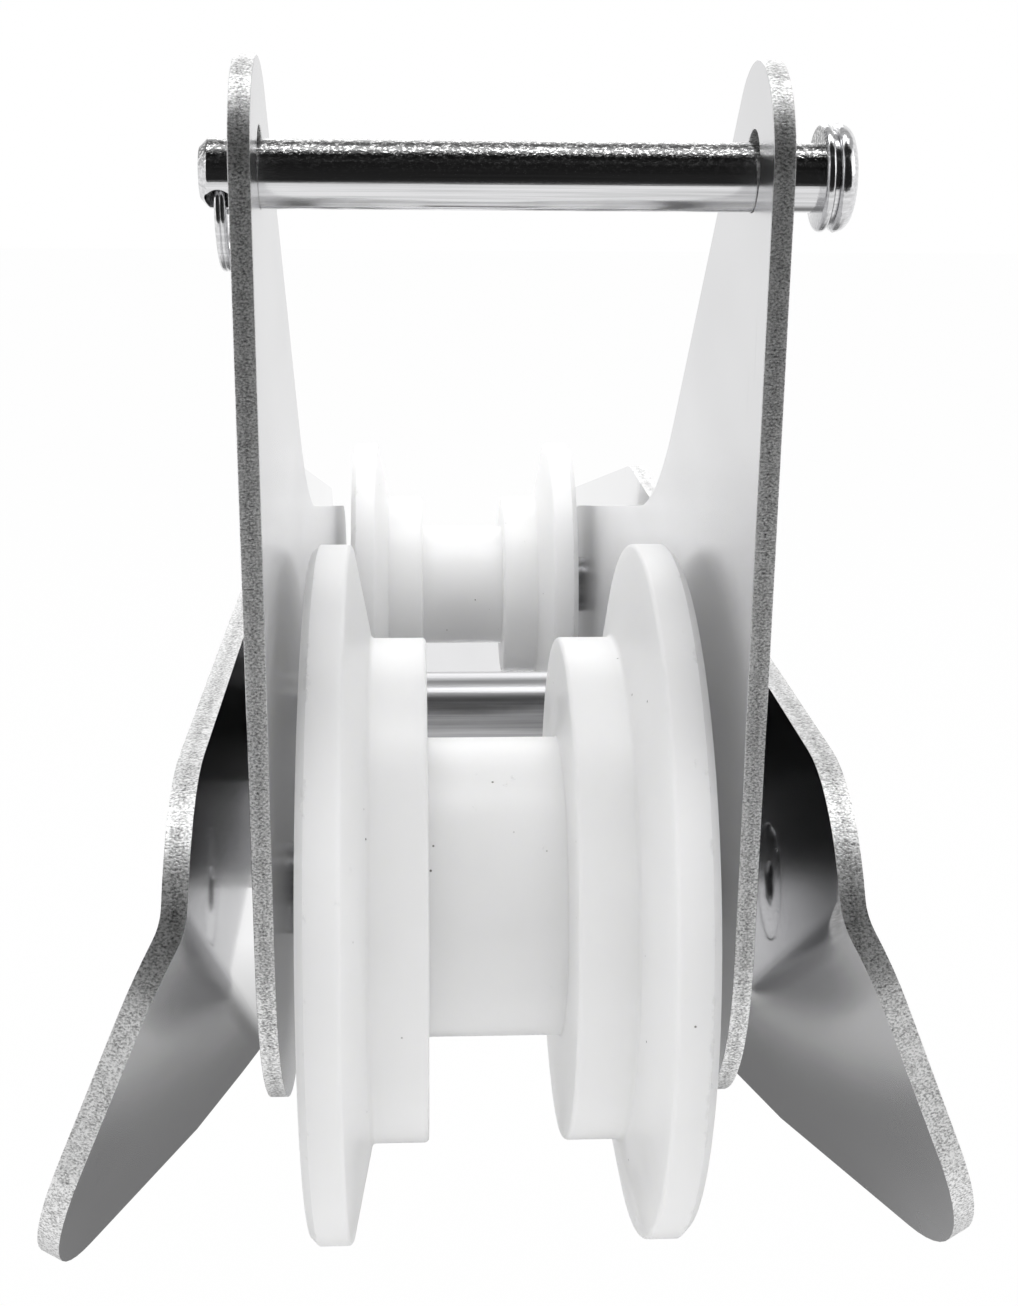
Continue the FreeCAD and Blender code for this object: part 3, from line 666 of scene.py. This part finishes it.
class BOWROLLER_OT_side_plates(bpy.types.Operator):
    """Polished cradle plates with laser-cut edges"""

    bl_idname = "bowroller.side_plates"
    bl_label = "Side Plates"

    def execute(self, context):
        finish = settings().steel
        for side in ("left", "right"):
            node = f"{side}_side_plate"
            piece = copy_of(node, f"{side}_plate_polished")
            soften(piece, finish.edge_break)
            centre = abs(middle(node).x)
            edge = material(
                "cut_edge_cradle", cut_edge, centre=centre, seed=0.2, shaded_above=CAD_BOX[1].z)
            paint_sheet(piece, sheet_finish(), edge, lambda where, facing: abs(facing.x) < 0.5)
            smooth(piece)
            settle(piece, node, "polished_steel")
        return {"FINISHED"}


class BOWROLLER_OT_channel(bpy.types.Operator):
    """Folded deck channel with flared cheeks"""

    bl_idname = "bowroller.channel"
    bl_label = "Deck Channel"

    def execute(self, context):
        finish = settings().steel
        node = "base_channel"
        piece = copy_of(node, "channel_polished")
        soften(piece, finish.edge_break)
        cheek_inside = 0.0434
        cheek_middle = 0.045
        fold_height = 0.0086
        floor_front = -0.115
        # painted shade: the cut edges are painted darker within this band below the channel's top
        painted_shade_band = 0.0017
        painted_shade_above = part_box(node)[1].z - painted_shade_band

        def is_edge(where, facing):
            on_cheek = abs(facing.x) > 0.7
            on_floor = where.z < fold_height and where.y > floor_front and abs(facing.y) < 0.5
            return not on_cheek and not on_floor

        edge = material(
            "cut_edge_channel", cut_edge, centre=cheek_middle, seed=0.6, shaded_above=painted_shade_above)
        inner = material(
            "polished_channel", polished_steel, tint=finish.polished, seed=0.5, mirror_half=cheek_inside)
        paint_sheet(piece, inner, edge, is_edge)
        smooth(piece)
        settle(piece, node, "polished_steel")
        return {"FINISHED"}


class BOWROLLER_OT_rollers(bpy.types.Operator):
    """Turned nylon rollers"""

    bl_idname = "bowroller.rollers"
    bl_label = "Rollers"

    def execute(self, context):
        sizes = settings().rollers
        for end, tube, shoulder, core in (
            ("front", "front_axle_tube", sizes.bow_shoulder, sizes.bow_core),
            ("rear", "rear_axle_tube", sizes.stern_shoulder, sizes.stern_core),
        ):
            node = f"{end}_roller"
            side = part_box(node)[1].x
            flange = radius_of(node)
            bore = radius_of(tube) + sizes.bore_fit
            groove_half = sizes.groove / 2
            shoulder_half = groove_half + sizes.shoulder
            half = [
                (side, bore, sizes.bore_fit * 5),
                (side, flange - sizes.rim_chamfer, sizes.bore_fit),
                (side - sizes.rim_chamfer, flange, sizes.bore_fit),
                (side - sizes.rim, flange, sizes.edge_round),
                (shoulder_half, shoulder, sizes.edge_round),
                (groove_half, shoulder, sizes.edge_round),
                (groove_half, core, sizes.edge_round / 2),
            ]
            other = [(-x, r, bend) for x, r, bend in reversed(half)]
            piece = turned(
                f"{end}_roller_nylon", middle(node), rounded(half + other), closed=True,
                segments=sizes.segments)
            paint(piece, nylon_finish(end))
            smooth(piece, degrees=28.0)
            settle(piece, node, "white_nylon")
        return {"FINISHED"}


class BOWROLLER_OT_axles(bpy.types.Operator):
    """Axle tubes and their countersunk socket screws"""

    bl_idname = "bowroller.axles"
    bl_label = "Axles"

    def execute(self, context):
        for end in ("front", "rear"):
            tube = copy_of(f"{end}_axle_tube", f"{end}_axle_tube_steel")
            paint(tube, tube_finish())
            smooth(tube)
            settle(tube, f"{end}_axle_tube", "fastener_steel")
            for side in ("left", "right"):
                node = f"{end}_axle_screw_{side}"
                piece = copy_of(node, f"{node}_steel")
                soften(piece, width=0.0005, segments=3)
                paint(piece, turned_finish())
                smooth(piece)
                settle(piece, node, "fastener_steel")
        return {"FINISHED"}


class BOWROLLER_OT_pivot(bpy.types.Operator):
    """Pivot tube, bolt, nut, bushes and washers"""

    bl_idname = "bowroller.pivot"
    bl_label = "Pivot"

    def execute(self, context):
        steel = turned_finish()
        bearing = material("dark_bearing", dark_bearing)
        for node, made, slot, bevel in (
            ("pivot_tube", tube_finish(), "polished_steel", 0.0003),
            ("pivot_bolt", steel, "fastener_steel", 0.0005),
            ("pivot_nut", steel, "fastener_steel", 0.0005),
            ("pivot_washer_left", steel, "fastener_steel", 0.0003),
            ("pivot_washer_right", steel, "fastener_steel", 0.0003),
            ("pivot_bush_left", bearing, "bearing_plastic", 0.0002),
            ("pivot_bush_right", bearing, "bearing_plastic", 0.0002),
            ("thrust_washer_left", bearing, "bearing_plastic", 0.0005),
            ("thrust_washer_right", bearing, "bearing_plastic", 0.0005),
        ):
            piece = copy_of(node, f"{node}_dressed")
            soften(piece, bevel)
            paint(piece, made)
            smooth(piece)
            settle(piece, node, slot)
        return {"FINISHED"}


class BOWROLLER_OT_pin(bpy.types.Operator):
    """Retaining pin with its domed head and cross hole"""

    bl_idname = "bowroller.pin"
    bl_label = "Retaining Pin"

    def execute(self, context):
        sizes = settings().pin
        low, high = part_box("retaining_pin")
        centre = middle("retaining_pin")
        rim = radius_of("retaining_pin")
        radius = sizes.radius
        chamfer = sizes.chamfer
        collar_end = sizes.seat + sizes.collar
        dome_start = collar_end + sizes.groove
        neck = rim - sizes.groove_depth
        corners = [
            (low.x, radius - chamfer, 0),
            (low.x + chamfer, radius, chamfer / 3),
            (sizes.seat, radius, 0),
            (sizes.seat, rim, sizes.collar_round),
            (collar_end, rim, sizes.collar_round),
            (collar_end, neck, 0),
            (dome_start, neck, 0),
            (dome_start, rim, sizes.collar_round * 1.4),
            (high.x, rim, sizes.dome_round),
            (high.x, radius / 2, 0),
        ]
        piece = turned("retaining_pin_bright", centre, rounded(corners), closed=False, segments=128)
        choose(piece)
        # the profile ends beside the axis, so the head's last ring is closed by one face
        bpy.ops.object.mode_set(mode="EDIT")
        bpy.ops.mesh.select_all(action="DESELECT")
        bpy.ops.mesh.select_mode(type="EDGE")
        bpy.ops.mesh.select_non_manifold()
        bpy.ops.mesh.edge_face_add()
        bpy.ops.mesh.select_all(action="SELECT")
        bpy.ops.mesh.normals_make_consistent(inside=False)
        bpy.ops.object.mode_set(mode="OBJECT")
        ring = middle("split_ring")
        deselect()
        bpy.ops.mesh.primitive_cylinder_add(
            vertices=48, radius=sizes.cross_hole, depth=4 * radius, location=(ring.x, centre.y, centre.z),
            rotation=(math.pi / 2 + sizes.ring_lean, 0, 0))
        cut_with(piece, bpy.context.object)
        paint(piece, bright_finish())
        smooth(piece, degrees=30.0)
        settle(piece, "retaining_pin", "pin_steel")
        return {"FINISHED"}


class BOWROLLER_OT_split_ring(bpy.types.Operator):
    """Split ring: two turns of one wire"""

    bl_idname = "bowroller.split_ring"
    bl_label = "Split Ring"

    def execute(self, context):
        sizes = settings().pin
        centre = middle("split_ring")
        wire = sizes.wire / 2
        radius = radius_of("split_ring") - wire
        turns = 1.94
        steps = 160
        spacing = 1.02 * wire
        ends_at = math.radians(-100)
        deselect()
        bpy.ops.mesh.primitive_circle_add(vertices=16, radius=wire, rotation=(math.pi / 2, 0, 0))
        piece = bpy.context.object
        piece.name = "split_ring_wire"
        bpy.ops.object.transform_apply(location=False, rotation=True, scale=False)
        bpy.ops.object.mode_set(mode="EDIT")
        bpy.ops.mesh.select_all(action="SELECT")
        bpy.ops.transform.translate(value=(-spacing, 0, radius))
        bpy.ops.object.mode_set(mode="OBJECT")
        coil = piece.modifiers.new("coil", "SCREW")
        coil.axis = "X"
        coil.angle = turns * 2 * math.pi
        coil.screw_offset = 2 * spacing
        coil.steps = steps
        coil.render_steps = steps
        apply_modifiers(piece)
        bpy.ops.object.mode_set(mode="EDIT")
        bpy.ops.mesh.select_all(action="SELECT")
        bpy.ops.mesh.fill_holes(sides=0)
        bpy.ops.mesh.select_all(action="SELECT")
        bpy.ops.mesh.normals_make_consistent(inside=False)
        bpy.ops.object.mode_set(mode="OBJECT")
        piece.rotation_euler = (ends_at, 0, sizes.ring_yaw)
        piece.location = centre
        bpy.ops.object.transform_apply(location=True, rotation=True, scale=True)
        paint(piece, bright_finish())
        smooth(piece, degrees=40.0)
        settle(piece, "split_ring", "pin_steel")
        return {"FINISHED"}


def lamp(name, location, target, width, height, power):
    """A soft lamp that looks at a point."""
    data = bpy.data.lights.new(name, "AREA")
    data.shape = "RECTANGLE"
    data.size = width
    data.size_y = height
    data.energy = power
    made = bpy.data.objects.new(name, data)
    made.location = location
    made.rotation_euler = (Vector(target) - Vector(location)).to_track_quat("-Z", "Y").to_euler()
    bpy.context.scene.collection.objects.link(made)


def card(name, location, target, width, height, level, edge_level, fade):
    """A card that only reflections see. Its level fades to edge_level over the outer share, fade."""
    deselect()
    bpy.ops.mesh.primitive_plane_add(size=2)
    made = bpy.context.object
    made.name = name
    made.scale = (width / 2, height / 2, 1)
    made.rotation_euler = (Vector(target) - Vector(location)).to_track_quat("Z", "Y").to_euler()
    made.location = location
    made.visible_camera = False
    made.visible_diffuse = False
    made.visible_shadow = False
    made.visible_transmission = False
    plain, tree, shader = new_material(name)
    shader.inputs["Base Color"].default_value = BLACK
    shader.inputs["Specular IOR Level"].default_value = 0.0
    shader.inputs["Roughness"].default_value = 1.0
    shader.inputs["Emission Color"].default_value = WHITE
    axes = position(tree)
    sideways = calculate(tree, "ABSOLUTE", (axes, "X"))
    lengthways = calculate(tree, "ABSOLUTE", (axes, "Y"))
    corner_round = 0.3
    out = calculate(tree, "SMOOTH_MAX", (sideways, "Value"), (lengthways, "Value"), corner_round)
    glow = spread(tree, (out, "Value"), level, edge_level, start=1.0 - fade, end=1.0)
    connect(tree, (glow, "Result"), shader, "Emission Strength")
    paint(made, plain)


def seen_directly(tree):
    """1 for camera, glossy and transmission rays, 0 for the rest."""
    path = add(tree, "ShaderNodeLightPath")
    either = calculate(tree, "MAXIMUM", (path, "Is Camera Ray"), (path, "Is Glossy Ray"))
    return calculate(tree, "MAXIMUM", (either, "Value"), (path, "Is Transmission Ray"))


class BOWROLLER_OT_stage(bpy.types.Operator):
    """Camera, pale floor and soft studio light"""

    bl_idname = "bowroller.stage"
    bl_label = "Stage"

    def execute(self, context):
        studio = settings().studio
        low, high = CAD_BOX
        floor_height = low.z - studio.floor_drop
        heart = (low + high) / 2
        self.make_camera(studio)
        self.make_floor(floor_height, studio)
        self.make_surround(studio)
        lamp("key_lamp", (0, -0.16, 1.20), (0, -0.16, 0), width=1.4, height=0.26, power=studio.key)
        lamp("left_lamp", (-1.3, -0.6, 0.7), heart, width=0.9, height=0.9, power=studio.fill)
        lamp("right_lamp", (1.3, -0.6, 0.7), heart, width=0.9, height=0.9, power=studio.fill)
        lamp("back_lamp", (0.0, 1.2, 0.9), heart, width=0.9, height=0.9, power=studio.back)
        card("front_card", (0, -1.15, 0.48), (0, 0, 0.48), width=3.2, height=1.54,
             level=0.02, edge_level=0.10, fade=0.25)
        card("canopy_card", (0, -0.80, 1.25), (0, -0.80, 0), width=3.2, height=0.75,
             level=0.02, edge_level=0.15, fade=0.3)
        card("ceiling_card", (0, 0.25, 1.30), (0, 0.25, 0), width=3.2, height=1.5,
             level=0.50, edge_level=0.60, fade=0.3)
        card("under_card", (0, 0.12, floor_height + 0.01), (0, 0.12, 1), width=0.8, height=0.64,
             level=0.18, edge_level=1.0, fade=0.65)
        context.scene.view_settings.view_transform = "Standard"
        return {"FINISHED"}

    def make_camera(self, studio):
        """The camera that took the photo, as fitted to the part's outlines."""
        forward = Vector((
            math.sin(studio.yaw) * math.cos(studio.pitch), math.cos(studio.yaw) * math.cos(studio.pitch),
            math.sin(studio.pitch)))
        level = Vector((math.cos(studio.yaw), -math.sin(studio.yaw), 0))
        upright = level.cross(forward)
        right = math.cos(studio.roll) * level + math.sin(studio.roll) * upright
        up = -math.sin(studio.roll) * level + math.cos(studio.roll) * upright
        data = bpy.data.cameras.new("camera")
        data.lens = studio.lens
        data.sensor_width = 36.0
        data.clip_start = 0.01
        made = bpy.data.objects.new("camera", data)
        bpy.context.scene.collection.objects.link(made)
        turn = Matrix((right, up, -forward)).transposed().to_4x4()
        made.matrix_world = Matrix.Translation(studio.camera) @ turn
        bpy.context.scene.camera = made

    def make_floor(self, height, studio):
        """A pale floor that shows as white where it is seen directly."""
        deselect()
        bpy.ops.mesh.primitive_plane_add(size=12, location=(0, 0, height))
        floor = bpy.context.object
        floor.name = "floor"
        pale, tree, shader = new_material("pale_floor")
        shader.inputs["Base Color"].default_value = (0.86, 0.86, 0.86, 1)
        shader.inputs["Roughness"].default_value = 0.9
        shader.inputs["Specular IOR Level"].default_value = 0.1
        white = add(tree, "ShaderNodeEmission", {"Color": WHITE, "Strength": 1.0})
        amount = spread(tree, (seen_directly(tree), "Value"), 0.0, studio.floor_white)
        # a Mix Shader's two shader sockets share one name, so all three go by number
        both = add(tree, "ShaderNodeMixShader", {
            0: (amount, "Result"), 1: (shader, "BSDF"), 2: (white, "Emission")})
        tree.links.new(both.outputs[0], tree.nodes["Material Output"].inputs["Surface"])
        paint(floor, pale)

    def make_surround(self, studio):
        """Soft light from all round, white where it is seen directly."""
        world = bpy.data.worlds.new("white_surround")
        world.use_nodes = True
        tree = world.node_tree
        level = spread(tree, (seen_directly(tree), "Value"), studio.surround, 1.0)
        background = tree.nodes["Background"]
        background.inputs["Color"].default_value = WHITE
        connect(tree, (level, "Result"), background, "Strength")
        bpy.context.scene.world = world


PIECES = (
    BOWROLLER_OT_side_plates,
    BOWROLLER_OT_channel,
    BOWROLLER_OT_rollers,
    BOWROLLER_OT_axles,
    BOWROLLER_OT_pivot,
    BOWROLLER_OT_pin,
    BOWROLLER_OT_split_ring,
    BOWROLLER_OT_stage,
)


class BOWROLLER_PT_sidebar(bpy.types.Panel):
    """Lists the pieces of the bow roller"""

    bl_idname = "BOWROLLER_PT_sidebar"
    bl_label = "Bow Roller"
    bl_space_type = "VIEW_3D"
    bl_region_type = "UI"
    bl_category = "Bow Roller"

    def draw(self, context):
        for piece in PIECES:
            self.layout.operator(piece.bl_idname)
        for group in ("rollers", "pin", "steel", "nylon", "studio"):
            box = self.layout.box()
            box.label(text=group.title())
            values = getattr(context.scene.bow_roller, group)
            for name in values.__annotations__:
                box.prop(values, name)


CLASSES = (RollerSizes, PinSizes, SteelFinish, NylonFinish, Studio, BowRoller, *PIECES, BOWROLLER_PT_sidebar)


def register():
    """Registers the add-on's classes and its settings."""
    for each in CLASSES:
        bpy.utils.register_class(each)
    bpy.types.Scene.bow_roller = PointerProperty(type=BowRoller)


def unregister():
    """Takes the settings and classes away again."""
    del bpy.types.Scene.bow_roller
    for each in reversed(CLASSES):
        bpy.utils.unregister_class(each)


def main():
    register()
    bpy.ops.bowroller.side_plates()
    bpy.ops.bowroller.channel()
    bpy.ops.bowroller.rollers()
    bpy.ops.bowroller.axles()
    bpy.ops.bowroller.pivot()
    bpy.ops.bowroller.pin()
    bpy.ops.bowroller.split_ring()
    bpy.ops.bowroller.stage()


if __name__ == "__main__":
    main()
